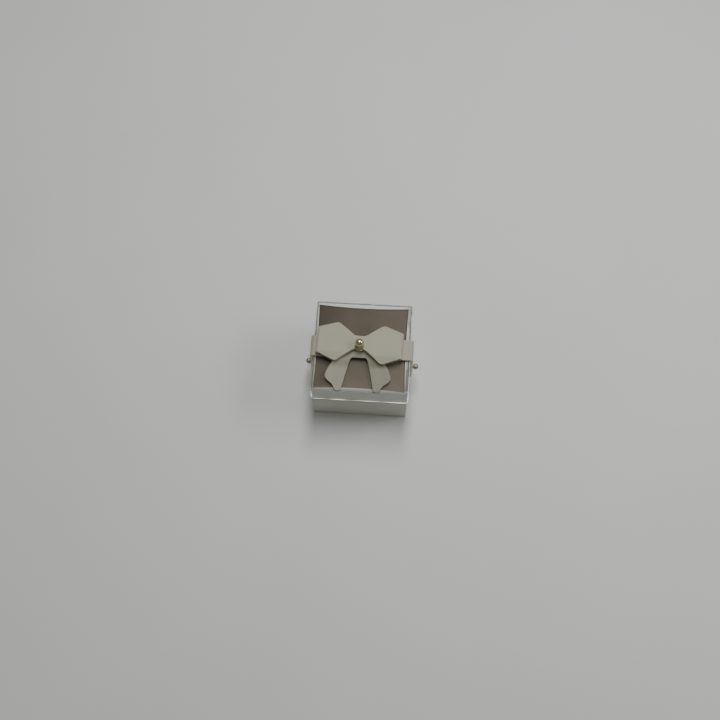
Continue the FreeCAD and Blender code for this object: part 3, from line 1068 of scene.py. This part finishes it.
def curve_through(points, x):
    """Smooth curve through (x, y) points, read at x."""
    last = len(points) - 1
    x = min(max(x, points[0][0]), points[-1][0])
    i = 0
    while i < last - 1 and x > points[i + 1][0]:
        i += 1
    (x0, y0), (x1, y1) = points[i], points[i + 1]
    before = points[max(i - 1, 0)]
    after = points[min(i + 2, last)]
    slope0 = (y1 - before[1]) / (x1 - before[0])
    slope1 = (after[1] - y0) / (after[0] - x0)
    width = x1 - x0
    t = (x - x0) / width
    return (y0 * (1 + 2 * t) * (1 - t) ** 2 + y1 * t * t * (3 - 2 * t)
            + slope0 * width * t * (1 - t) ** 2 + slope1 * width * t * t * (t - 1))


def bow_tails():
    """Forked piece that lies on the strap and runs down over the lid to its front edge."""
    rows = 58
    fork_row = 20
    inner_columns = 10
    outer_columns = 16
    columns = 2 * (inner_columns + outer_columns)
    drop_start = strap_half_width + strap_leather
    high = tails_high.z - tails_leather / 2
    low = tails_low.z + tails_leather / 2

    def place(u, v):
        row = round(v * rows)
        if row <= fork_row:
            along = -tails_back + (fork_reach + tails_back) * row / fork_row
        else:
            along = fork_reach + (tails_length - fork_reach) * (row - fork_row) / (rows - fork_row)
        column = round(u * columns) - columns // 2
        side = -1 if column < 0 else 1
        column = abs(column)
        inner, outer = tail_edges(along)
        if along < fork_reach:
            inner = min(fork_half_width, outer * fork_share)
        if column <= inner_columns:
            x = inner * column / inner_columns
        else:
            x = inner + (outer - inner) * (column - inner_columns) / outer_columns
        fall = smooth((along - drop_start) / tails_drop)
        at_side = smooth((x - curl_start_x) / curl_width)
        at_tip = smooth((along - curl_start) / curl_length)
        z = high + (low - high) * fall + tails_curl * at_side * at_tip
        return Vector((stud_x + side * x, strap_y - along, z))

    tails = add_sheet(columns, rows, place)
    edit(tails)
    gap_y = strap_y - fork_reach

    def in_fork(face):
        middle = face.calc_center_median()
        inner, outer = tail_edges(strap_y - middle.y)
        return middle.y < gap_y and abs(middle.x - stud_x) < inner

    pick(tails, "faces", in_fork)
    bpy.ops.mesh.delete(type="FACE")
    deselect()
    modify(tails, "SOLIDIFY", thickness=tails_leather, offset=0, use_even_offset=True)
    face_outwards(tails)
    round_edges(tails, bow_edge_radius, angle=cut_edge_angle)
    mark_cut(tails, lambda normal: math.hypot(normal.x, normal.y) - tails_slant)
    joined_reach = 10 * mm
    joined_fade = 14 * mm
    right_fade = 12 * mm

    def painted_tail_shade_share(place):
        """Painted shade on the tails: all of them darker, most where they are joined under the bow, where
        its shadow falls, and more towards the right.
        """
        away = math.hypot(place.x - stud_x, place.y - strap_y)
        right = smooth((place.x - stud_x) / right_fade)
        joined = 1 - smooth((away - joined_reach) / joined_fade)
        return 0.50 + 0.32 * right + 0.33 * joined

    mark(tails, "under", painted_tail_shade_share)
    return dress(tails, "tails", cream_leather, ["bow_tails"])


# Studs

def turned(count, profile):
    """Round piece drawn up along Z through (radius, height) pairs and closed at both ends."""
    rings = []
    for radius, height in profile:
        ring = []
        for i in range(count):
            angle = 2 * math.pi * i / count
            ring.append((radius * math.cos(angle), radius * math.sin(angle)))
        rings.append((ring, height))
    piece = stack_rings(count, rings)
    bpy.ops.mesh.merge(type="CENTER")
    floor_height = profile[0][1]
    pick(piece, "verts", lambda vertex: vertex.co.z < floor_height + 10 * same_place)
    bpy.ops.mesh.edge_face_add()
    face_outwards(piece)
    return piece


def ball_stud(name, metal, ball, neck, flange, ball_height, axis_turn, foot, body, node):
    """Flange with a rounded rim, waisted neck and polished ball, turned in one piece."""
    lip = 0.25 * mm
    corner = 0.3 * lip
    fillet = 0.5 * mm
    tip = 0.02 * mm
    top = flange_thickness
    steps = 22
    profile = [(flange - lip, 0), (flange - corner, corner), (flange, lip),
               (flange, top - lip), (flange - corner, top - corner), (flange - lip, top),
               (neck + fillet, top + 0.04 * fillet), (neck + 0.24 * fillet, top + 0.3 * fillet),
               (neck, top + fillet)]
    start = math.asin(neck / ball)
    profile.append((neck, ball_height - ball * math.cos(start) - 0.2 * fillet))
    for step in range(steps + 1):
        angle = start + (math.pi - start) * step / steps
        radius = max(ball * math.sin(angle), tip)
        profile.append((radius, ball_height - ball * math.cos(angle)))
    stud = turned(stud_points, profile)
    deselect()
    stud.rotation_euler = (0, axis_turn, 0)
    stud.location = foot
    dress(stud, name, metal, [node])
    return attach(stud, body)


def floor():
    """Ground that the box stands on, 6 m wide, for the pictures alone."""
    deselect()
    bpy.ops.mesh.primitive_plane_add(size=6)
    ground = bpy.context.object
    ground.name = "ground"
    ground.data.materials.append(pale_floor("ground"))


for piece in (card_tray(), wrap_panel(-1), wrap_panel(1), neck_frame()):
    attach(piece, "tray")
pad = velvet_pad()
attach(pad, "tray")
block = foam_block()
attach(block, "tray")
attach(clear_lid(), "lid")
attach(lid_band(), "lid")
strap_side(1)
strap_side(-1)
for piece in (strap_middle(), bow_loops(), bow_tails()):
    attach(piece, "strap")

ball_stud("gold_stud", brass, centre_ball_radius, centre_neck_radius, centre_flange_radius,
          centre_high.z - centre_ball_radius - centre_low.z, 0,
          (stud_x, strap_y, centre_low.z), "strap", "centre_stud")
for side, name in ((1, "right"), (-1, "left")):
    ball_stud(name + "_gold_stud", shaded_brass, side_ball_radius, side_neck_radius, side_flange_radius,
              side_high.x - side_ball_radius - side_low.x, side * math.pi / 2,
              (side * side_low.x, strap_y, side_stud_z), "tray", name + "_stud")

# Frame pieces whose shapes stay as they are
for name, material in (("insert_riser", board), ("right_stud_screw", steel),
                       ("left_stud_screw", steel), ("centre_screw", steel)):
    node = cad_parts[name]
    node.data.materials.clear()
    node.data.materials.append(material)

floor()


# Camera, fitted to the corners of the box in a picture 720 pixels wide

picture_pixels = 720
focal_pixels = 1100
sensor_width = 36
camera_distance = 0.8984
camera_elevation = math.radians(67.48)
box_turn = math.radians(-4.36)
camera_roll = math.radians(0.84)
aim_right = 1.74 * mm
aim_up = 10.75 * mm
nearest_seen = 0.01
farthest_seen = 20

# Lights
light_target = Vector((0, 0, 0.03))
light_color = (0.975, 1, 0.985)
sky_color = (1, 0.99, 0.93)


def add_camera():
    """Camera that looks at the middle of the lid's top, shifted as in the picture."""
    tilt = Matrix(((1, 0, 0),
                   (0, math.sin(camera_elevation), math.cos(camera_elevation)),
                   (0, -math.cos(camera_elevation), math.sin(camera_elevation))))
    turn = Matrix.Rotation(camera_roll, 3, "Z") @ tilt @ Matrix.Rotation(box_turn, 3, "Z")
    offset = Vector((aim_right, aim_up, -camera_distance))
    bpy.ops.object.camera_add()
    camera = bpy.context.object
    camera.name = "camera"
    back = turn.transposed()
    camera.matrix_world = Matrix.Translation(Vector((0, 0, lid_top)) - back @ offset) @ back.to_4x4()
    camera.data.sensor_width = sensor_width
    camera.data.lens = focal_pixels * sensor_width / picture_pixels
    camera.data.clip_start = nearest_seen
    camera.data.clip_end = farthest_seen
    bpy.context.scene.camera = camera


def add_light(name, place, size, power):
    """Flat rectangular light that faces the box."""
    bpy.ops.object.light_add(type="AREA", location=place)
    lamp = bpy.context.object
    lamp.name = name
    lamp.data.shape = "RECTANGLE"
    lamp.data.size, lamp.data.size_y = size
    lamp.data.energy = power
    lamp.data.color = light_color
    lamp.rotation_euler = (light_target - Vector(place)).to_track_quat("-Z", "Y").to_euler()


def add_world(strength):
    """Even light from all sides."""
    world = bpy.data.worlds.new("studio")
    world.use_nodes = True
    background = world.node_tree.nodes["Background"]
    background.inputs["Color"].default_value = (*sky_color, 1)
    background.inputs["Strength"].default_value = strength
    bpy.context.scene.world = world


deselect()
add_camera()
add_light("softbox", place=(0.03, 0.38, 1.11), size=(0.24, 0.75), power=7.5)
add_light("side_box", place=(0.84, 0.15, 0.74), size=(0.60, 0.20), power=2.8)
add_world(strength=0.155)
deselect()
